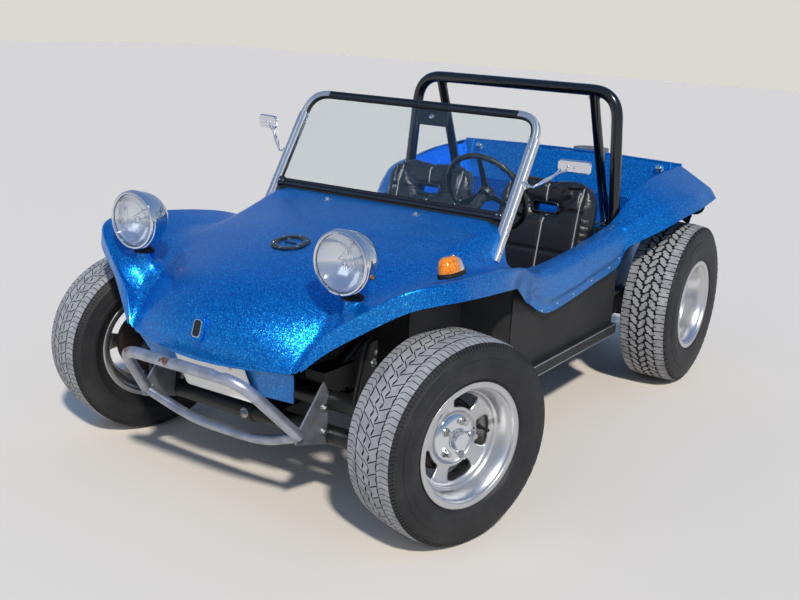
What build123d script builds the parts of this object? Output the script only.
from build123d import *
import math
import os

os.makedirs("parts", exist_ok=True)

# Frame: the front faces -Y, +X is the car's left, the ground is Z = 0, all in millimetres.
# A name ends in _r for a radius, _x, _y or _z for a place and _deg for an angle.

# Axles, wheels and ride height
wheelbase = 2032
front_axle_y = -wheelbase / 2
rear_axle_y = wheelbase / 2
beam_half = 490
kingpin_reach = 110
kingpin_x = beam_half + kingpin_reach
front_wheel_offset = 124
rear_wheel_x = 702
front_tyre_r = 338
front_tyre_width = 235
front_tread_width = 198
front_rim_width = 178
rear_tyre_r = 372
rear_tyre_width = 245
rear_tread_width = 206
rear_rim_width = 204
bead_r = 190
rim_lip_r = 208
rim_flange = 7
tyre_wall = 12
front_hub_z = front_tyre_r
rear_hub_z = rear_tyre_r
floor_drop = 38
floor_z = front_hub_z - floor_drop

# Body shell
shell = 6
body_end_y = 239
crease_front_x = 340
side_wall_x = 594
foot_wall_x = 430
well_wall_x = 476
tunnel_half = 75
tunnel_height = 150
deck_height = 458
shelf_height = 406

# Steering and fits
rest_steer_deg = -17
steering_arm = 110
pin_r = 9
ball_stud_r = 6
spindle_r = 14
running_fit = 0.1
gap = 6
wheel_centre = Vector(300, front_axle_y + 871, floor_z + 655)
box_centre = Vector(254, front_axle_y - 44, floor_z + 142)
drop_arm_x = 250

# Tubes and front beam
bar_tube_r = 25
bumper_tube_r = 19
beam_tube_r = 32
beam_ahead = 150
beam_spacing = 120
beam_y = front_axle_y - beam_ahead
beam_lower_z = front_hub_z - 63
beam_upper_z = beam_lower_z + beam_spacing

# Windshield
ws_half_width = 532
ws_height = 425
ws_rail = 24
ws_depth = 26
ws_rake_deg = 31.8
ws_base_y = front_axle_y + 606
ws_base_z = floor_z + 622

# Engine
crank_z = rear_hub_z
engine_front_y = rear_axle_y + 169
engine_rear_y = rear_axle_y + 424
tin_z = crank_z + 98
body_rear_y = rear_axle_y + body_end_y

# Body sections. All y are from the axle that the table names, and all z from the floor.
# Hood and front fender, from the front axle: y, then x, z of the crease between them,
# y, z of the hood's middle, then x, z of the fender's valley, shoulder and lip
FRONT_ROWS = [
    (-362, (340, 241), (-422, 229), (350, 245), (366, 262), (372, 250)),
    (-329, (352, 285), (-414, 300), (375, 298), (415, 360), (437, 314)),
    (-284, (365, 324), (-384, 368), (400, 340), (545, 463), (518, 375)),
    (-218, (378, 386), (-274, 445), (445, 405), (652, 532), (660, 466)),
    (-79, (406, 447), (-104, 500), (505, 450), (714, 548), (745, 486)),
    (94, (441, 502), (94, 542), (548, 475), (719, 540), (746, 472)),
    (312, (485, 537), (312, 576), (545, 472), (713, 519), (728, 450)),
    (456, (515, 564), (456, 595), (548, 458), (698, 497), (672, 412)),
    (579, (539, 588), (579, 610), (556, 442), (668, 462), (648, 340)),
]

# Cockpit side behind the cowl, with x from the side wall: y, then x, z of the inner edge,
# shoulder and lip. The first rows are from the front axle, the others from the rear axle.
SIDE_FRONT_ROWS = [
    (676, (-32, 428), (48, 434), (30, 304)),
    (816, (-34, 418), (30, 422), (24, 243)),
    (1046, (-34, 428), (28, 432), (23, 249)),
]
SIDE_REAR_ROWS = [
    (-766, (-34, 450), (30, 454), (28, 278)),
    (-536, (-28, 485), (42, 481), (34, 310)),
]
REAR_FENDER_ROWS = [
    (-536, (-28, 485), (42, 481), (56, 393)),
    (-456, (-19, 526), (74, 505), (103, 428)),
    (-283, (-4, 622), (138, 562), (181, 491)),
    (0, (2, 665), (170, 588), (203, 525)),
    (body_end_y, (4, 678), (161, 589), (193, 545)),
]


def mirrored(solid):
    return mirror(solid, about=Plane.YZ)


def both(solid):
    return Part() + solid + mirrored(solid)


def largest(shape):
    # Drops the slivers that a cut leaves behind.
    return Part() + shape.solids().sort_by(SortBy.VOLUME)[-1]


def rod(a, b, r):
    # A round bar from a to b.
    a = Vector(*a)
    b = Vector(*b)
    return extrude(Plane(origin=a, z_dir=b - a) * Circle(r), (b - a).length)


def bent_tube(points, bend_r, r):
    path = FilletPolyline(*points, radius=bend_r)
    return sweep(Plane(origin=path @ 0, z_dir=path % 0) * Circle(r), path=path)


def block(x0, x1, y0, y1, z0, z1):
    return Pos((x0 + x1) / 2, (y0 + y1) / 2, (z0 + z1) / 2) * Box(x1 - x0, y1 - y0, z1 - z0)


def side_plate(outline, x0, x1):
    # A plate between x0 and x1 from (y, z) points.
    face = make_face(Polyline(*[(0, y, z) for y, z in outline], close=True))
    return extrude(Pos(x0, 0, 0) * face, x1 - x0, dir=(1, 0, 0))


def cross_plate(outline, y0, y1):
    # A plate between y0 and y1 from (x, z) points.
    face = make_face(Polyline(*[(x, 0, z) for x, z in outline], close=True))
    return extrude(Pos(0, y0, 0) * face, y1 - y0, dir=(0, 1, 0))


def flat_plate(outline, z0, z1):
    # A plate between z0 and z1 from (x, y) points.
    face = make_face(Polyline(*[(x, y, 0) for x, y in outline], close=True))
    return extrude(Pos(0, 0, z0) * face, z1 - z0, dir=(0, 0, 1))


def turned(outline):
    # A turned piece from (along, radius) points, about X.
    return revolve(make_face(Polyline(*[(x, r, 0) for x, r in outline], close=True)), Axis.X)


def steered(solid):
    # Turns a piece drawn about a kingpin at the origin to the way that the wheels stand.
    return Rot(Z=rest_steer_deg) * solid


def offset_line(points, t):
    # Moves an open line of (x, z) points to its right-hand side by t, mitred at the corners.
    out = []
    for i, (x, z) in enumerate(points):
        normals = []
        for j in (i - 1, i):
            if 0 <= j < len(points) - 1:
                dx = points[j + 1][0] - points[j][0]
                dz = points[j + 1][1] - points[j][1]
                normals.append((dz / math.hypot(dx, dz), -dx / math.hypot(dx, dz)))
        nx = sum(n[0] for n in normals) / len(normals)
        nz = sum(n[1] for n in normals) / len(normals)
        sharpest = 0.35
        reach = t / max(nx * nx + nz * nz, sharpest)
        out.append((x + nx * reach, z + nz * reach))
    return out


def skin(rows):
    # A panel of the shell's thickness through rows of (y, (x, z), ...), with its outside up.
    wires = []
    for y, *points in rows:
        ring = points + offset_line(points, shell)[::-1]
        wires.append(Wire.make_polygon([Vector(x, y, z) for x, z in ring], close=True))
    return Solid.make_loft(wires)


def placed_rows(rows, axle_y, from_x=0):
    return [(y + axle_y, *[(x + from_x, z + floor_z) for x, z in points]) for y, *points in rows]


def rear_fender_rows():
    return placed_rows(REAR_FENDER_ROWS, rear_axle_y, side_wall_x)


# How far a panel runs past the crease before it is trimmed there
spare = 14


def crease_prism():
    # Everything between the two creases in plan, from below the chin to above the cowl.
    ahead = 100
    bottom = 100
    top = 800
    stations = [(row[1][0], row[0]) for row in FRONT_ROWS]
    nose_x, nose_y = stations[0]
    slope = (stations[2][0] - nose_x) / (stations[2][1] - nose_y)
    line = [(nose_x - slope * ahead, nose_y - ahead), stations[0], stations[2], stations[-1]]
    left = [(x, y + front_axle_y) for x, y in line]
    right = [(-x, y) for x, y in left[::-1]]
    return flat_plate(left + right, floor_z + bottom, floor_z + top)


def hood():
    # Crowned panel between the creases. A flat return and a chin close it under the lip.
    wires = []
    for y, (x, z), (middle_y, middle_z), *_ in FRONT_ROWS:
        rise = Vector(0, middle_y - y, middle_z - z)
        radius = (x * x + rise.length ** 2) / (2 * rise.length)
        wide = x + spare
        out = rise.normalized()
        crown = Vector(0, front_axle_y + middle_y, floor_z + middle_z)
        edge = crown - out * (radius - math.sqrt(radius ** 2 - wide ** 2))
        across = Vector(wide, 0, 0)
        depth = out * shell
        outer = ThreePointArc(edge - across, crown, edge + across)
        inner = ThreePointArc(edge + across - depth, crown - depth, edge - across - depth)
        wires.append(Wire([outer, Line(outer @ 1, inner @ 0), inner, Line(inner @ 1, outer @ 0)]))
    nose_y = front_axle_y + FRONT_ROWS[0][0] + 2
    lip_y = front_axle_y + FRONT_ROWS[0][2][0] + 4
    corner_x, corner_z = FRONT_ROWS[0][1]
    top_z = floor_z + corner_z
    return_arc = ThreePointArc((-corner_x, nose_y, 0), (0, lip_y, 0), (corner_x, nose_y, 0))
    return_back = Polyline(
        (corner_x, nose_y), (corner_x, nose_y + shell), (-corner_x, nose_y + shell), (-corner_x, nose_y)
    )
    return_face = make_face([return_arc, return_back])
    lip_return = extrude(Pos(0, 0, top_z - shell) * return_face, shell, dir=(0, 0, 1))
    chin_z = floor_z + 110
    chin_set_back = 58
    chin_corner_x = 293
    foot_y = nose_y + chin_set_back
    chin = side_plate([
        (nose_y, top_z), (nose_y + shell, top_z), (foot_y + shell, chin_z), (foot_y, chin_z),
    ], -corner_x, corner_x)
    chin &= cross_plate([
        (-corner_x, top_z), (corner_x, top_z), (chin_corner_x, chin_z), (-chin_corner_x, chin_z),
    ], nose_y - spare, foot_y + spare)
    panel = Part() + Solid.make_loft(wires, ruled=True) & crease_prism()
    return panel + lip_return + chin


def front_fender():
    # Left fender, run past the crease and trimmed there, with the lamp's fairing.
    rows = []
    for y, crease, _, valley, shoulder, lip in FRONT_ROWS:
        run = Vector(crease[0] - valley[0], crease[1] - valley[1]).normalized() * spare
        rows.append((y, (crease[0] + run.X, crease[1] + run.Y), valley, shoulder, lip))
    fender = Part() + skin(placed_rows(rows, front_axle_y))
    return fender + lamp_fairing() - crease_prism()


# Headlights
lamp_x = 439
lamp_face_y = front_axle_y - 269
lamp_z = floor_z + 586
lamp_lens_r = 89
lamp_bowl_r = 100
lamp_foot = Vector(447, front_axle_y - 209, floor_z + 490)


def lamp_fairing():
    # Half-buried cone in body colour that carries the lamp's foot.
    base_r = 78
    top_r = 24
    height = 90
    return Pos(*(lamp_foot - Vector(0, 0, height / 2))) * Cone(base_r, top_r, height)


def headlight():
    depth = 125
    rim_width = 25
    foot_r = 16
    bowl = turned([
        (0, 0), (0, lamp_bowl_r), (rim_width, lamp_bowl_r), (rim_width + 45, lamp_lens_r),
        (depth - 10, lamp_lens_r / 2), (depth, 0),
    ])
    bowl = Pos(lamp_x, lamp_face_y, lamp_z) * Rot(Z=90) * bowl
    foot = rod(lamp_foot, lamp_foot + Vector(-2, 0, lamp_z - lamp_bowl_r / 2 - lamp_foot.Z), foot_r)
    return bowl + foot


def headlight_lens():
    bulge = 12
    return rod((lamp_x, lamp_face_y, lamp_z), (lamp_x, lamp_face_y - bulge, lamp_z), lamp_lens_r)


def body_side():
    # Left side from the cowl to the tail, with the panel that closes the tail.
    cowl_row = (FRONT_ROWS[-1][0], *FRONT_ROWS[-1][3:])
    rows = placed_rows([cowl_row], front_axle_y)
    rows += placed_rows(SIDE_FRONT_ROWS, front_axle_y, side_wall_x)
    rows += placed_rows(SIDE_REAR_ROWS, rear_axle_y, side_wall_x)
    side = skin(rows)
    fender_rows = rear_fender_rows()
    inner, shoulder, lip = fender_rows[-1][1:]
    tail_depth = 105
    tail = [
        (inner[0] + 2, inner[1] - shell), (shoulder[0], shoulder[1] - shell),
        (lip[0] - shell, lip[1]), (lip[0] - 17, lip[1] - tail_depth),
        (inner[0] + 2, lip[1] - tail_depth - 40),
    ]
    return Part() + side + skin(fender_rows) + cross_plate(tail, body_rear_y - shell, body_rear_y)


toe_y = front_axle_y + 156
step_y = front_axle_y + 496
cowl_wall_y = front_axle_y + 586
seat_back_y = rear_axle_y - 456
seat_back_thick = 6


def lower_tub(body):
    # Black walls of the cockpit and footwell, cut off at the body panels above them.
    top = floor_z + 500
    wall_x = side_wall_x - shell
    foot_x = foot_wall_x - shell
    wall = block(wall_x, side_wall_x, cowl_wall_y, seat_back_y, floor_z, top)
    step = flat_plate([
        (wall_x, cowl_wall_y), (foot_wall_x, step_y), (foot_x, step_y), (foot_x, step_y + shell),
        (wall_x, cowl_wall_y + shell),
    ], floor_z, top - 60)
    foot_wall = block(foot_x, foot_wall_x, toe_y, step_y + shell, floor_z, top)
    deck_under = floor_z + deck_height - shell
    well_front = block(well_wall_x, side_wall_x, seat_back_y - shell, seat_back_y, floor_z, deck_under)
    toe_board = block(-foot_wall_x, foot_wall_x, toe_y - shell, toe_y, floor_z, top - 20)
    tub = both(wall + step + foot_wall + well_front) + toe_board
    for panel in body:
        tub -= panel
    return largest(tub)


def rear_tub(body, tub):
    # Inner walls over the wheels, side decks, luggage shelf, seat bulkhead and sloping rear wall.
    deck_z = floor_z + deck_height
    shelf_z = floor_z + shelf_height
    rows = rear_fender_rows()
    wall_x = rows[-1][1][0]
    under = 4
    end_y = body_rear_y - shell
    top = [(min(y, end_y), inner[1] - under) for y, inner, *_ in rows[:0:-1]]
    wall = side_plate([(seat_back_y, deck_z - shell), (end_y, deck_z - shell)] + top, wall_x, wall_x + shell)
    inner_x = well_wall_x - shell
    deck = block(inner_x, wall_x + shell, seat_back_y - shell, end_y, deck_z - shell, deck_z)
    shelf_rear_y = rear_axle_y + 162
    axle_room = 53
    well_wall = block(
        inner_x, well_wall_x, seat_back_y - shell, shelf_rear_y - 8, rear_hub_z + axle_room, deck_z - shell
    )
    rim_y = body_rear_y + 1
    rim_z = rows[-1][1][1] + 7
    slope_foot_z = shelf_z + 94
    rear_wall = side_plate([
        (rim_y, rim_z), (rim_y + shell, rim_z), (shelf_rear_y, slope_foot_z), (shelf_rear_y, shelf_z),
        (shelf_rear_y - shell, shelf_z), (shelf_rear_y - shell, slope_foot_z),
    ], -wall_x, wall_x)
    bulkhead_y = rear_axle_y - 322
    shelf = block(-inner_x, inner_x, bulkhead_y, shelf_rear_y, shelf_z - shell, shelf_z)
    bulkhead = side_plate([
        (seat_back_y, floor_z), (seat_back_y + shell, floor_z), (bulkhead_y + shell, shelf_z - shell),
        (bulkhead_y, shelf_z - shell),
    ], -inner_x, inner_x)
    belt_holes = both(Pos(belt_hole_x, belt_hole_y, shelf_z) * Cylinder(belt_hole_r, 4 * shell))
    rear = both(wall + deck + well_wall) + rear_wall + shelf + bulkhead - belt_holes - tub
    for panel in body:
        rear -= panel
    return largest(rear)


# Anchor holes for a belt's bolt, in the luggage shelf
belt_hole_r = 6
belt_hole_x = 150
belt_hole_y = rear_axle_y + 84


def floor_pan(tub, rear):
    under = floor_z - shell
    outline = [
        (side_wall_x, cowl_wall_y), (foot_wall_x, step_y), (foot_wall_x, toe_y - shell),
        (-foot_wall_x, toe_y - shell), (-foot_wall_x, step_y), (-side_wall_x, cowl_wall_y),
        (-side_wall_x, seat_back_y), (side_wall_x, seat_back_y),
    ]
    tunnel_wall = 4
    tunnel_top = floor_z + tunnel_height
    tunnel = block(-tunnel_half, tunnel_half, toe_y, seat_back_y, floor_z, tunnel_top)
    bore_x = tunnel_half - tunnel_wall
    tunnel -= block(-bore_x, bore_x, toe_y - 1, seat_back_y + 1, floor_z - 1, tunnel_top - tunnel_wall)
    sill_width = 26
    sill_height = 40
    sill = block(
        side_wall_x, side_wall_x + sill_width, cowl_wall_y + 20, seat_back_y - 4, under, floor_z + sill_height
    )
    head_half = 120
    head_depth = 60
    frame_head = block(-head_half, head_half, beam_y + beam_tube_r, toe_y, floor_z - head_depth, floor_z)
    return flat_plate(outline, under, floor_z) + tunnel + both(sill) + frame_head - tub - rear


def front_beam(pan):
    # Two cross tubes with a shock tower plate near each end.
    tower_inset = 30
    tower_thick = 8
    tower_top_z = floor_z + 310
    beam = Part()
    for z in (beam_upper_z, beam_lower_z):
        beam += rod((-beam_half, beam_y, z), (beam_half, beam_y, z), beam_tube_r)
    tower_x = beam_half - tower_inset
    tower = side_plate([
        (beam_y - 30, beam_lower_z), (beam_y + 60, beam_lower_z), (beam_y + 60, tower_top_z),
        (beam_y + 20, tower_top_z), (beam_y - 30, beam_upper_z + 40),
    ], tower_x - tower_thick / 2, tower_x + tower_thick / 2)
    return beam + both(tower) - pan


# Trailing arms: thickness of the arms, link plate and the two kingpin eyes
arm_half_height = 24
arm_thick = 22
link_thick = 18
eye_thick = 14
eye_drop = 76
eye_rise = 62
shock_x = beam_half - 52
shock_y = beam_y + 76


def front_arms():
    arm_x = beam_half + arm_thick
    front = beam_y - arm_half_height
    back = front_axle_y + 26
    arms = Part()
    for z in (beam_upper_z, beam_lower_z):
        arms += block(beam_half, arm_x, front, back, z - arm_half_height, z + arm_half_height)
    eye_bottom = front_hub_z - eye_drop
    eye_top = front_hub_z + eye_rise
    arms += block(arm_x, arm_x + link_thick, front_axle_y - 30, back, eye_bottom, eye_top + eye_thick)
    bores = Part()
    for z in (eye_bottom, eye_top):
        arms += block(arm_x, kingpin_x + 22, front_axle_y - 24, front_axle_y + 24, z, z + eye_thick)
        bores += Pos(kingpin_x, front_axle_y, z + eye_thick / 2) * Cylinder(pin_r + running_fit, 4 * eye_thick)
    arms += rod((beam_half, shock_y, beam_lower_z), (shock_x - 8, shock_y, beam_lower_z), 8)
    return both(arms - bores)


def shock_absorbers(carriers):
    front_r = 20
    rear_r = 26
    front_top = (shock_x, shock_y - 25, floor_z + 285)
    front = rod((shock_x, shock_y, beam_lower_z - 13), front_top, front_r)
    foot_z = rear_hub_z + rear_foot_rise
    eye_r = 11
    rear = rod((rear_shock_x, rear_shock_y, foot_z), (rear_shock_x, rear_shock_y, foot_z + 34), eye_r)
    rear_top = (rear_shock_x, rear_shock_y + 70, rear_hub_z + 318)
    rear += rod((rear_shock_x, rear_shock_y, foot_z + 30), rear_top, rear_r)
    shocks = both(front) + both(rear)
    for carrier in carriers:
        shocks -= carrier
    return shocks


# Rear suspension places
rear_shock_x = 520
rear_shock_y = rear_axle_y + 34
rear_foot_rise = 18
spring_plate_x = 500
spring_plate_thick = 8
horn_x = 110
horn_thick = 30
rear_bumper_x = 360


def transaxle():
    # Gearbox along the middle, swing axle tubes and the spindles that carry the rear wheels.
    nose_y = rear_axle_y - 296
    case_r = 100
    bell_r = 150
    nose_r = 62
    tube_r = 30
    tube_end_x = rear_wheel_x - 102
    side_cover_r = 88
    case = turned([
        (engine_front_y - 1, 0), (engine_front_y - 1, bell_r), (engine_front_y - 35, bell_r),
        (engine_front_y - 85, case_r), (rear_axle_y - 116, case_r), (rear_axle_y - 156, nose_r),
        (nose_y, nose_r - 7), (nose_y, 0),
    ])
    case = Pos(0, 0, crank_z) * Rot(Z=90) * case
    axle = Vector(0, rear_axle_y, rear_hub_z)
    tube = rod(axle + Vector(60, 0, 0), axle + Vector(tube_end_x, 0, 0), tube_r)
    cover = rod(axle + Vector(80, 0, 0), axle + Vector(112, 0, 0), side_cover_r)
    spindle = rod(axle + Vector(tube_end_x, 0, 0), axle + Vector(rear_wheel_x, 0, 0), spindle_r)
    return case + both(tube + cover + spindle)


def rear_suspension(gear):
    # Torsion tube, spring plates, frame horns, their crossmember and what holds the shocks.
    torsion_y = rear_axle_y - 376
    torsion_z = floor_z + 30
    torsion_r = 45
    plate_half = 34
    hub_half = 44
    tip_y = rear_axle_y + 58
    torsion = rod((-spring_plate_x, torsion_y, torsion_z), (spring_plate_x, torsion_y, torsion_z), torsion_r)
    plate = side_plate([
        (torsion_y - 40, torsion_z - plate_half), (torsion_y - 40, torsion_z + plate_half),
        (rear_axle_y - 36, rear_hub_z + hub_half), (rear_axle_y + 24, rear_hub_z + hub_half),
        (tip_y, rear_hub_z + 18), (tip_y, rear_hub_z - 18), (rear_axle_y + 24, rear_hub_z - hub_half),
    ], spring_plate_x, spring_plate_x + spring_plate_thick)
    member_y = rear_axle_y + 130
    member_z = floor_z - 60
    member_depth = 28
    member_half = 18
    horn = side_plate([
        (torsion_y, torsion_z - 20), (torsion_y, torsion_z + 20), (member_y - 46, floor_z),
        (member_y + member_depth / 2, floor_z), (member_y + member_depth / 2, member_z - 15),
        (member_y - 16, member_z - 15), (member_y - 46, member_z + 25),
    ], horn_x, horn_x + horn_thick)
    member_x = rear_shock_x + 12
    member = block(
        -member_x, member_x, member_y - member_depth / 2, member_y + member_depth / 2,
        member_z - member_half, member_z + member_half,
    )
    upright_r = 10
    foot_z = rear_hub_z + rear_foot_rise
    outer_x = spring_plate_x + spring_plate_thick
    foot = rod((outer_x, rear_shock_y, foot_z), (rear_shock_x + upright_r, rear_shock_y, foot_z), upright_r)
    upright = rod((rear_shock_x, member_y, member_z), (rear_shock_x, member_y, rear_hub_z + 330), upright_r)
    return torsion + both(plate + horn + foot + upright) + member - gear


# Flat-four engine: table of the two cylinder pairs by how far they stand behind the case's front
CYLINDER_SETBACKS = (65, 190)
case_half = 150
case_drop = 122
case_rise = 98
cylinder_r = 52
fin_r = 60
fin_pitch = 15
fin_thick = 5
fin_count = 7
barrel_length = 112
head_length = 83
cover_length = 40
pushrod_r = 9
pushrod_z = crank_z - 75
head_bottom_z = crank_z - 86


def engine():
    # Crankcase, sump, finned cylinders, heads and rocker covers.
    case = block(-case_half, case_half, engine_front_y, engine_rear_y, crank_z - case_drop, crank_z + case_rise)
    case = fillet(case.edges().filter_by(Axis.Y), 18)
    sump_depth = 55
    sump_half = 110
    sump = block(
        -sump_half, sump_half, engine_front_y + 25, engine_rear_y - 70,
        crank_z - case_drop - sump_depth, crank_z - case_drop,
    )
    bank = Part()
    head_x = case_half + barrel_length
    for setback in CYLINDER_SETBACKS:
        y = engine_front_y + setback
        bank += rod((case_half, y, crank_z), (head_x, y, crank_z), cylinder_r)
        for i in range(fin_count):
            x = case_half + gap + fin_pitch * i
            bank += rod((x, y, crank_z), (x + fin_thick, y, crank_z), fin_r)
        for side in (-22, 22):
            bank += rod((case_half, y + side, pushrod_z), (head_x, y + side, pushrod_z), pushrod_r)
    head_front_y = engine_front_y + 10
    head_rear_y = engine_rear_y - 10
    cover_x = head_x + head_length
    bank += block(head_x, cover_x, head_front_y, head_rear_y, head_bottom_z, crank_z + 68)
    cover = block(cover_x, cover_x + cover_length, head_front_y + 20, head_rear_y - 20, crank_z - 42, crank_z + 48)
    cover = fillet(cover.faces().sort_by(Axis.X)[-1].edges(), 12)
    return Part() + case + sump + both(bank + cover)


shroud_front_y = engine_front_y + 50
shroud_rear_y = shroud_front_y + 100
generator_x = -40
generator_z = crank_z + 343
belt_y = engine_rear_y + 30
manifold_x = 75
manifold_y = engine_rear_y - 65


def fan_shroud():
    # Arched fan housing with a raised fan ring, on the flat tin that covers the cylinders.
    half_width = 290
    shoulder_z = crank_z + 248
    crown_z = crank_z + 513
    tin_half = case_half + barrel_length + head_length + cover_length
    tin_thick = 6
    arch = ThreePointArc((-half_width, 0, shoulder_z), (0, 0, crown_z), (half_width, 0, shoulder_z))
    sides = Polyline((half_width, 0, shoulder_z), (half_width, 0, tin_z + tin_thick),
                     (-half_width, 0, tin_z + tin_thick), (-half_width, 0, shoulder_z))
    face = make_face([arch, sides])
    housing = extrude(Pos(0, shroud_front_y, 0) * face, shroud_rear_y - shroud_front_y, dir=(0, 1, 0))
    ring_r = 150
    ring_depth = 8
    ring_end = (generator_x, shroud_rear_y + ring_depth, generator_z)
    ring = rod((generator_x, shroud_rear_y, generator_z), ring_end, ring_r)
    tin = block(-tin_half, tin_half, engine_front_y + 1, engine_rear_y, tin_z, tin_z + tin_thick)
    return Part() + housing + ring + tin


def generator():
    # Generator on its stand, both pulleys and the belt between them.
    body_r = 52
    shaft_r = 18
    pulley_r = 58
    crank_pulley_r = 84
    crank_hub_r = 25
    pulley_half = 10
    belt_thick = 8
    belt_width = 12
    stand_half = 35
    start_y = shroud_rear_y + 12
    end_y = belt_y - 25
    unit = rod((generator_x, start_y, generator_z), (generator_x, end_y, generator_z), body_r)
    unit += rod((generator_x, end_y, generator_z), (generator_x, belt_y + pulley_half, generator_z), shaft_r)
    unit += block(
        generator_x - stand_half, generator_x + stand_half, manifold_y + 20, end_y - 25,
        tin_z + gap, generator_z - body_r / 2,
    )
    unit += rod((0, engine_rear_y, crank_z), (0, belt_y + pulley_half, crank_z), crank_hub_r)
    outer = []
    inner = []
    for x, z, r in ((generator_x, generator_z, pulley_r), (0, crank_z, crank_pulley_r)):
        unit += rod((x, belt_y - pulley_half, z), (x, belt_y + pulley_half, z), r)
        outer += (Pos(x, z) * Circle(r + belt_thick / 2)).edges()
        inner += (Pos(x, z) * Circle(r - belt_thick / 2)).edges()
    belt_plane = Plane(origin=(0, belt_y, 0), x_dir=(1, 0, 0), z_dir=(0, -1, 0))
    loop = make_hull(outer) - make_hull(inner)
    return Part() + unit + extrude(belt_plane * loop, belt_width / 2, both=True)


def carburettor():
    # Inlet manifold over the tin, carburettor, air cleaner and distributor.
    pipe_r = 17
    riser_r = 20
    neck_r = 26
    body_half = 32
    cleaner_r = 90
    cleaner_height = 68
    cleaner_top_z = floor_z + 698
    cleaner_z = cleaner_top_z - cleaner_height
    body_top_z = cleaner_z - 40
    body_z = body_top_z - 120
    run_z = tin_z + 60
    port_x = case_half + barrel_length + 30
    x = manifold_x
    y = manifold_y
    side = [(-port_x, y, tin_z + gap), (-port_x, y, run_z)]
    unit = bent_tube(side + [(-px, py, pz) for px, py, pz in side[::-1]], 30, pipe_r)
    unit += rod((x, y, run_z), (x, y, body_z + 10), riser_r)
    unit += block(x - body_half, x + body_half, y - body_half, y + body_half, body_z, body_top_z)
    unit += rod((x, y, body_top_z), (x, y, cleaner_z), neck_r)
    unit += rod((x, y, cleaner_z), (x, y, cleaner_top_z), cleaner_r)
    spark_x = -130
    spark_y = engine_rear_y - 20
    cap_z = tin_z + 85
    unit += rod((spark_x, spark_y, tin_z + gap), (spark_x, spark_y, cap_z), 22)
    unit += rod((spark_x, spark_y, cap_z), (spark_x, spark_y, cap_z + 45), 34)
    return Part() + unit


muffler_y = engine_rear_y
muffler_z = crank_z - 182
muffler_r = 48
muffler_half = 250
tailpipe_x = 110
tailpipe_r = 19
tailpipe_tip_y = rear_axle_y + 515
tailpipe_free = 33


def exhaust():
    # Cross muffler, a pipe from each cylinder head and two tail pipes with a plain end.
    pipe_r = 18
    port_x = case_half + barrel_length + 50
    port_y = engine_rear_y - 60
    header = bent_tube([
        (port_x, port_y, head_bottom_z), (port_x, port_y, muffler_z + 40), (port_x, muffler_y, muffler_z),
        (muffler_half - 10, muffler_y, muffler_z),
    ], 16, pipe_r)
    muffler = rod((-muffler_half, muffler_y, muffler_z), (muffler_half, muffler_y, muffler_z), muffler_r)
    shoulder_y = tailpipe_tip_y - tailpipe_free
    collar = rod((tailpipe_x, muffler_y, muffler_z), (tailpipe_x, shoulder_y, muffler_z), tailpipe_r + 5)
    pipe = rod((tailpipe_x, shoulder_y, muffler_z), (tailpipe_x, tailpipe_tip_y, muffler_z), tailpipe_r)
    return Part() + muffler + both(header + collar + pipe)


def rear_bumper():
    # One bent tube that guards the engine.
    low_z = floor_z - 60
    high_z = floor_z + 220
    tail_y = tailpipe_tip_y - bumper_tube_r
    start_y = rear_axle_y + 144
    side = [(rear_bumper_x, start_y, low_z), (rear_bumper_x, tail_y, low_z), (rear_bumper_x, tail_y, high_z)]
    other = [(-x, y, z) for x, y, z in side[::-1]]
    return Part() + bent_tube(side + other, 60, bumper_tube_r)


def front_bumper(beam):
    # Upper and lower tube that meet at a plate on each end of the beam.
    joint = (337, front_axle_y - 312, floor_z + 16)
    upper = (251, front_axle_y - 515 + bumper_tube_r, floor_z + 222)
    lower = (155, front_axle_y - 274, floor_z - 60)
    plate_x = 334
    plate_thick = 8
    tubes = Part()
    for knee, bend_r, r in ((upper, 55, bumper_tube_r), (lower, 60, bumper_tube_r - 2)):
        across = [(-x, y, z) for x, y, z in (knee, joint)]
        tubes += bent_tube([joint, knee] + across, bend_r, r)
    front_y = beam_y - 184
    plate = side_plate([
        (front_y, floor_z - 4), (front_y + 20, floor_z + 45), (beam_y - 49, floor_z + 170),
        (beam_y - 24, floor_z + 130), (beam_y - 24, floor_z - 50), (beam_y - 69, floor_z - 38),
    ], plate_x, plate_x + plate_thick)
    return tubes + both(plate) - beam


def number_plate(hood_panel):
    # Blank plate, tilted as the chin behind it, on two spacers.
    width = 304.8
    height = 152.4
    thick = 2
    tilt_deg = 25
    spacer_x = 89
    centre = Vector(0, front_axle_y - 335, floor_z + 145)
    plate = Pos(*centre) * Rot(X=90 + tilt_deg) * Box(width, height, thick)
    behind = Vector(0, math.cos(math.radians(tilt_deg)), -math.sin(math.radians(tilt_deg)))
    start = centre + Vector(spacer_x, 0, 0)
    spacer = rod(start, start + behind * 30, 8)
    return largest(Part() + plate + both(spacer) - hood_panel)


def windshield_plane():
    a = math.radians(ws_rake_deg)
    return Plane(origin=(0, ws_base_y, ws_base_z), x_dir=(1, 0, 0), z_dir=(0, -math.cos(a), math.sin(a)))


def windshield_frame(body):
    # Frame with round upper corners whose legs run down outside the cowl.
    leg = 170
    corner_r = 55
    outer = RectangleRounded(2 * ws_half_width + ws_rail, 2 * ws_height, corner_r)
    inner = RectangleRounded(2 * ws_half_width - ws_rail, 2 * (ws_height - ws_rail), corner_r - ws_rail / 2)
    upper = Pos(0, (ws_height - leg) / 2) * Rectangle(4 * ws_half_width, ws_height + leg)
    face = ((outer - inner) & upper) + Rectangle(2 * ws_half_width, ws_rail)
    frame = Part() + extrude(windshield_plane() * face, ws_depth / 2, both=True)
    for panel in body:
        frame -= panel
    return largest(frame)


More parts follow.
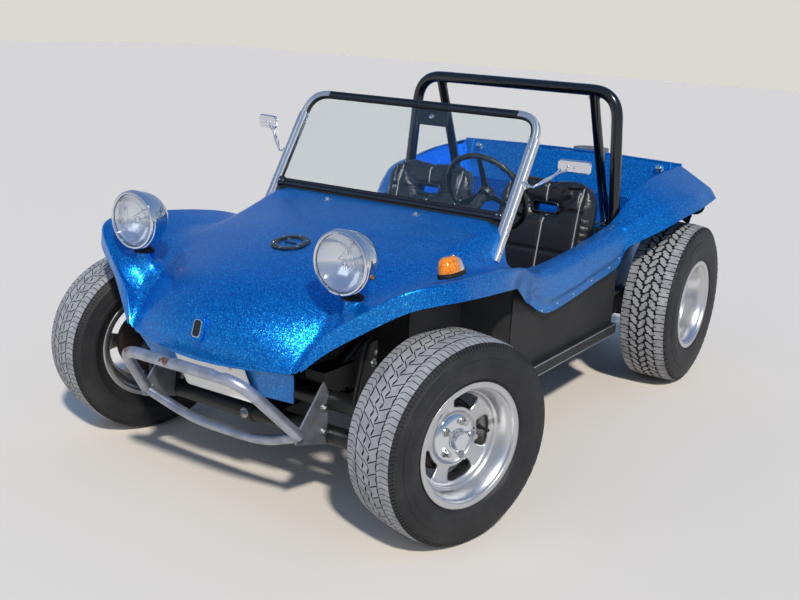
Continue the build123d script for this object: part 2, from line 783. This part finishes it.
def windshield_glass(frame):
    thick = 6
    height = ws_height - 3 * ws_rail / 2
    face = Pos(0, ws_rail / 2 + height / 2) * Rectangle(2 * ws_half_width - ws_rail, height)
    return Part() + extrude(windshield_plane() * face, thick / 2, both=True) - frame


bar_y = rear_axle_y - 416
bar_top_z = floor_z + 1062
bar_foot_x = 540
bar_shoulder_x = 500
brace_x = 388
brace_foot_y = rear_axle_y - 126


def roll_bar(rear):
    # Hoop behind the seats on two foot plates, with a brace to the luggage shelf on each side.
    deck_z = floor_z + deck_height
    shelf_z = floor_z + shelf_height
    top = bar_top_z - bar_tube_r
    bend_z = deck_z + 42
    side = [(bar_foot_x, bar_y, deck_z), (bar_foot_x, bar_y, bend_z), (bar_shoulder_x, bar_y, top)]
    hoop = bent_tube(side + [(-x, y, z) for x, y, z in side[::-1]], 40, bar_tube_r)
    brace = rod((brace_x, bar_y, top), (brace_x, brace_foot_y, shelf_z), bar_tube_r - 3)
    bar = largest(hoop + both(brace) - rear)
    foot_half = 45
    foot = block(bar_foot_x - foot_half, bar_foot_x + foot_half, bar_y - 40, bar_y + 40, deck_z, deck_z + shell)
    return bar + both(foot)


seat_width = 440
seat_clearance = 5
seat_centre_x = tunnel_half + seat_clearance + seat_width / 2
seat_front_y = rear_axle_y - 1126
seat_top_z = floor_z + 668
seat_bolster = 45
seat_corner_r = 110
harness_slot_width = 110
harness_slot_height = 34
harness_slot_drop = 150


def seat():
    # Left bucket seat: cushion, leaning back and side bolsters in one upholstered form.
    low = floor_z + gap
    back_y = rear_axle_y - 616
    half = seat_width / 2
    side = side_plate([
        (seat_front_y, low), (seat_front_y, low + 164), (seat_front_y + 50, low + 174),
        (back_y - 100, low + 144), (back_y, seat_top_z - 18), (back_y + 55, seat_top_z),
        (back_y + 90, seat_top_z - 28), (back_y + 20, low),
    ], seat_centre_x - half, seat_centre_x + half)
    front_view = RectangleRounded(seat_width, 2 * (seat_top_z - low), seat_corner_r)
    view_plane = Plane(origin=(seat_centre_x, seat_front_y, low), x_dir=(1, 0, 0), z_dir=(0, 1, 0))
    outline = extrude(view_plane * front_view, 2 * (back_y - seat_front_y))
    hollow = side_plate([
        (seat_front_y + 40, low + 194), (seat_front_y + 40, low + 144), (back_y - 90, low + 109),
        (back_y + 25, seat_top_z - 33), (back_y - 20, seat_top_z + 32), (back_y - 200, seat_top_z + 32),
    ], seat_centre_x - half + seat_bolster, seat_centre_x + half - seat_bolster)
    slot_z = seat_top_z - harness_slot_drop
    slot = block(
        seat_centre_x - harness_slot_width / 2, seat_centre_x + harness_slot_width / 2,
        seat_front_y, seat_front_y + 2 * (back_y - seat_front_y), slot_z, slot_z + harness_slot_height
    )
    return largest((Part() + side) & outline) - hollow - slot


sector_r = 12
column_shaft_r = 9


def steering_column(beam):
    # Column tube from the wheel to the steering box, with the sector shaft below the box.
    tube_r = 20
    box_half = 40
    wheel_gap = 34
    axis = (wheel_centre - box_centre).normalized()
    tube = rod(wheel_centre - axis * wheel_gap, box_centre, tube_r)
    shaft = rod(wheel_centre, box_centre, column_shaft_r)
    box = block(
        box_centre.X - box_half, box_centre.X + box_half, box_centre.Y - 90, front_axle_y + 36,
        box_centre.Z - 52, box_centre.Z + 28,
    )
    sector = rod(
        (drop_arm_x, front_axle_y, link_z + 6), (drop_arm_x, front_axle_y, box_centre.Z - box_half), sector_r
    )
    return Part() + tube + shaft + box + sector - beam


# Pedals: x of the middle, width of the pad
PEDALS = [(130, 50), (230, 60), (330, 45)]


def controls(pan):
    # Gear lever with its knob, parking brake lever and three pedals.
    top = floor_z + tunnel_height
    gear_y = front_axle_y + 866
    knob = (0, gear_y + 60, top + 340)
    gear_lever = rod((0, gear_y, top), knob, 8) + Pos(*knob) * Sphere(22)
    brake_y = gear_y + 210
    brake_lever = rod((0, brake_y, top), (0, brake_y - 120, top + 110), 12)
    pedals = Part()
    pad_y = toe_y + 70
    for x, width in PEDALS:
        pad = block(x - width / 2, x + width / 2, pad_y, pad_y + 10, floor_z + 120, floor_z + 190)
        stem = rod((x, pad_y + 40, floor_z), (x, pad_y + 5, floor_z + 130), 8)
        pedals += pad + stem
    return largest(gear_lever - pan) + largest(brake_lever - pan) + (pedals - pan)


def turn_signal(fender):
    # Bullet lamp that lies on the fender's shoulder.
    x = 664
    y = front_axle_y + 8
    z = floor_z + 572
    lens_r = 26
    lens_length = 42
    tail_length = 60
    outline = [
        (-lens_length, 0), (-lens_length, lens_r - 4), (0, lens_r), (tail_length / 3, lens_r),
        (tail_length, lens_r / 2), (tail_length, 0),
    ]
    body = Pos(x, y, z) * Rot(Z=90) * turned(outline)
    foot = rod((x, y, z - 60), (x, y, z - lens_r / 2), lens_r - 4)
    return largest(Part() + body + foot - fender)


def tail_light(side):
    r = 48
    x = 690
    z = floor_z + 500
    return Part() + rod((x, body_rear_y, z), (x, body_rear_y + 35, z), r) - side


def fuel_filler(hood_panel):
    r = 70
    cap = Pos(0, front_axle_y + 37, floor_z + 536) * Rot(X=10) * Cylinder(r, 24) - hood_panel
    return Part() + cap.solids().sort_by(Axis.Z)[-1]


# Outside mirrors: x and z of the head's middle, half its width and half its height
MIRROR_HEADS = [(735, 827, 62, 24), (-655, 848, 55, 27)]


def mirrors(frame):
    # A rectangular mirror on a forked arm at each windshield leg, and one on the top rail.
    thick = 15
    arm_r = 5
    y = ws_base_y + 78
    whole = Part()
    for head_x, rise, half_width, half_height in MIRROR_HEADS:
        z = floor_z + rise
        side = math.copysign(1, head_x)
        whole += block(
            head_x - half_width, head_x + half_width, y - thick / 2, y + thick / 2,
            z - half_height, z + half_height
        )
        clamp = (side * (ws_half_width + 20), y, floor_z + 737)
        for reach in (10, 50):
            end = (head_x - side * (half_width - reach), y, z - half_height + 6)
            whole += rod(clamp, end, arm_r)
    inside = (20, ws_base_y + 275, floor_z + 918)
    inside_half = 73
    whole += block(
        inside[0] - inside_half, inside[0] + inside_half, inside[1] - thick, inside[1] + thick / 2,
        inside[2] - inside_half / 2, inside[2] + inside_half / 2,
    )
    rail = windshield_plane().from_local_coords((inside[0], ws_height - ws_rail / 2, 0))
    whole += rod(inside, rail, arm_r + 2)
    return whole - frame


def dash_panel(body, frame, column):
    # Curved-top panel under the cowl.
    y = ws_base_y - 35
    half = 538
    edge_z = floor_z + 584
    middle_z = floor_z + 607
    low_z = floor_z + 420
    arch = ThreePointArc((-half, 0, edge_z), (0, 0, middle_z), (half, 0, edge_z))
    sides = Polyline((half, 0, edge_z), (half, 0, low_z), (-half, 0, low_z), (-half, 0, edge_z))
    panel = Part() + extrude(Pos(0, y, 0) * make_face([arch, sides]), shell, dir=(0, 1, 0))
    for piece in body:
        panel -= piece
    return largest(panel - frame - column)


def steering_wheel():
    rim_r = 170
    grip_r = 11
    hub_r = 34
    spoke_width = 24
    spin = Plane(origin=wheel_centre, z_dir=wheel_centre - box_centre)
    whole = Part() + spin * Torus(rim_r, grip_r) + spin * Cylinder(hub_r, 30)
    for a in (-90, 30, 150):
        whole += spin * Rot(Z=a) * Pos((hub_r + rim_r) / 2, 0, 0) * Box(rim_r - hub_r + grip_r, spoke_width, 4)
    return whole - spin * Cylinder(column_shaft_r + running_fit, 4 * hub_r)


# Steering linkage
link_z = front_hub_z - 8
link_r = 10
arm_plate = 10
arm_half_width = 14
ball_r = 15
ball_height = 18
arm_clearance = 2
eye_play = 7
arm_top_z = link_z - link_r - arm_clearance
drop_arm_z = link_z + 13


def knuckle():
    # Left knuckle about its kingpin, with its steering arm to the rear.
    post_r = 17
    post = Pos(0, 0, (eye_rise + eye_thick - eye_drop) / 2) * (
        Cylinder(post_r, eye_drop + eye_rise - eye_thick - 2 * eye_play)
        + Cylinder(pin_r, eye_drop + eye_rise + eye_thick)
    )
    reach = front_wheel_offset + 26
    stub = rod((0, 0, 0), (60, 0, 0), 22) + rod((0, 0, 0), (reach, 0, 0), spindle_r)
    top = arm_top_z - front_hub_z
    arm = block(-arm_half_width, arm_half_width, arm_plate, steering_arm, top - arm_plate, top)
    eye = Pos(0, steering_arm, top - arm_plate / 2) * Cylinder(ball_r, arm_plate)
    hole = Pos(0, steering_arm, 0) * Cylinder(ball_stud_r + running_fit, 10 * arm_plate)
    return Part() + (post + stub + arm + eye - hole)


def knuckle_left():
    return Pos(kingpin_x, front_axle_y, front_hub_z) * steered(knuckle())


def knuckle_right():
    return Pos(-kingpin_x, front_axle_y, front_hub_z) * steered(mirrored(knuckle()))


def arm_end(pivot_x):
    a = math.radians(rest_steer_deg)
    return pivot_x - steering_arm * math.sin(a), front_axle_y + steering_arm * math.cos(a)


def tie_rods():
    # One rod between both knuckles that the drop arm pushes, with a stud at each of the three.
    stud_length = 24
    unit = rod((*arm_end(kingpin_x), link_z), (*arm_end(-kingpin_x), link_z), link_r)
    for x, stud_z in ((kingpin_x, link_z - 16), (-kingpin_x, link_z - 16), (drop_arm_x, link_z + 14)):
        unit += Pos(*arm_end(x), link_z) * Cylinder(ball_r, ball_height)
        unit += Pos(*arm_end(x), stud_z) * Cylinder(ball_stud_r, stud_length)
    return Part() + unit


def drop_arm():
    boss_r = 22
    boss_height = 20
    arm = block(-arm_half_width, arm_half_width, 0, steering_arm, drop_arm_z, drop_arm_z + arm_plate)
    arm += Pos(0, 0, drop_arm_z + 7) * Cylinder(boss_r, boss_height)
    arm += Pos(0, steering_arm, drop_arm_z + arm_plate / 2) * Cylinder(ball_r, arm_plate)
    arm -= Pos(0, 0, drop_arm_z) * Cylinder(sector_r + running_fit, 4 * boss_height)
    arm -= Pos(0, steering_arm, drop_arm_z) * Cylinder(ball_stud_r + running_fit, 4 * boss_height)
    return Pos(drop_arm_x, front_axle_y, 0) * steered(arm)


def tyre(radius, width, tread, rim_width):
    # Carcass with an open bead, about the X axis through the origin.
    shoulder = 16
    shoulder_drop = 9
    crown = 16
    half = width / 2
    widest_r = bead_r + 0.45 * (radius - bead_r)
    seat = rim_width / 2 - rim_flange
    outer = [
        (seat, bead_r), (seat, rim_lip_r), (half, widest_r), (tread / 2, radius - shoulder_drop),
        (tread / 2 - shoulder, radius),
    ]
    inner = [(seat - tyre_wall, bead_r), (half - tyre_wall, widest_r), (tread / 2 - shoulder, radius - crown)]
    left = [(-x, r) for x, r in outer]
    return Part() + turned(outer + left[::-1] + [(-x, r) for x, r in inner] + inner[::-1])


# Slotted wheels
slot_count = 5
slot_length = 58
slot_width = 34
slot_r = 118
drum_r = 118
drum_width = 48
hub_r = 62
cap_r = 30
cap_reach = 40
rim_wall = 8
well_drop = 28
lip_run = 34
face_thick = 16
front_face_x = 8
rear_face_x = -18


def wheel(rim_width, face_x):
    # Slotted alloy wheel with its brake drum. +X faces out, and face_x is its web's middle.
    half = rim_width / 2
    seat = half - rim_flange
    barrel_r = bead_r - rim_wall
    well_r = bead_r - well_drop
    front = face_x + face_thick / 2
    back = face_x - face_thick / 2
    dome = 12
    body = turned([
        (-half, barrel_r), (-half, rim_lip_r), (-seat, rim_lip_r), (-seat, bead_r),
        (seat, bead_r), (seat, rim_lip_r), (half, rim_lip_r), (half, barrel_r),
        (half - lip_run, well_r), (front, well_r), (front + dome, hub_r), (front + dome, cap_r),
        (front + cap_reach, cap_r), (front + cap_reach, 0), (back, 0), (back, barrel_r),
    ])
    slot_cut = 4 * face_thick
    for i in range(slot_count):
        turn = Rot(X=360 / slot_count * (i + 0.5))
        slot = extrude(Plane.YZ * SlotOverall(slot_length, slot_width), slot_cut, both=True)
        body -= turn * Pos(face_x, 0, slot_r) * slot
    drum = rod((back - drum_width, 0, 0), (back, 0, 0), drum_r)
    bore = rod((-half, 0, 0), (front + cap_reach / 2, 0, 0), spindle_r + running_fit)
    return Part() + body + drum - bore


def front_wheel_place(solid):
    moved = Pos(front_wheel_offset, 0, 0) * solid
    return Pos(kingpin_x, front_axle_y, front_hub_z) * steered(moved)


def front_right_place(solid):
    moved = Pos(-front_wheel_offset, 0, 0) * mirrored(solid)
    return Pos(-kingpin_x, front_axle_y, front_hub_z) * steered(moved)


def build():
    pieces = {"hood": hood()}
    fender = front_fender()
    side = body_side()
    body = [pieces["hood"], fender, mirrored(fender), side, mirrored(side)]
    pieces["front_fenders"] = both(fender)
    pieces["body_sides"] = both(side)
    tub = lower_tub(body)
    rear = rear_tub(body, tub)
    pan = floor_pan(tub, rear)
    beam = front_beam(pan)
    arms = front_arms()
    column = steering_column(beam)
    frame = windshield_frame(body)
    gear = transaxle()
    springs = rear_suspension(gear)
    pieces["lower_tub"] = tub - column
    pieces["rear_tub"] = rear
    pieces["floor_pan"] = pan
    pieces["front_beam"] = beam
    pieces["front_arms"] = arms
    pieces["shock_absorbers"] = shock_absorbers([arms, beam, springs, gear])
    pieces["transaxle"] = gear
    pieces["rear_suspension"] = springs
    pieces["engine"] = engine()
    pieces["fan_shroud"] = fan_shroud()
    pieces["generator"] = generator()
    pieces["carburettor"] = carburettor()
    pieces["exhaust"] = exhaust()
    pieces["rear_bumper"] = rear_bumper()
    pieces["front_bumper"] = front_bumper(beam)
    pieces["number_plate"] = number_plate(pieces["hood"])
    pieces["windshield_frame"] = frame
    pieces["windshield_glass"] = windshield_glass(frame)
    pieces["roll_bar"] = roll_bar(rear)
    pieces["seats"] = both(seat())
    pieces["steering_column"] = column
    pieces["controls"] = controls(pan)
    pieces["headlights"] = both(headlight()) - both(lamp_fairing())
    pieces["headlight_lenses"] = both(headlight_lens())
    pieces["turn_signals"] = both(turn_signal(fender))
    pieces["tail_lights"] = both(tail_light(side))
    pieces["mirrors"] = mirrors(frame)
    pieces["fuel_filler"] = fuel_filler(pieces["hood"])
    pieces["dash_panel"] = dash_panel(body, frame, column)
    pieces["steering_wheel"] = steering_wheel()
    pieces["knuckle_left"] = knuckle_left()
    pieces["knuckle_right"] = knuckle_right()
    pieces["tie_rods"] = tie_rods()
    pieces["drop_arm"] = drop_arm()
    front_tyre = tyre(front_tyre_r, front_tyre_width, front_tread_width, front_rim_width)
    rear_tyre = tyre(rear_tyre_r, rear_tyre_width, rear_tread_width, rear_rim_width)
    front_wheel = wheel(front_rim_width, front_face_x)
    rear_wheel = wheel(rear_rim_width, rear_face_x)
    rear_place = Pos(rear_wheel_x, rear_axle_y, rear_hub_z)
    for name, front, back in (("tyre", front_tyre, rear_tyre), ("wheel", front_wheel, rear_wheel)):
        pieces[name + "_front_left"] = front_wheel_place(front)
        pieces[name + "_front_right"] = front_right_place(front)
        pieces[name + "_rear_left"] = rear_place * back
        pieces[name + "_rear_right"] = mirrored(rear_place * back)
    return pieces


for name, solid in build().items():
    export_step(solid, f"parts/{name}.step")
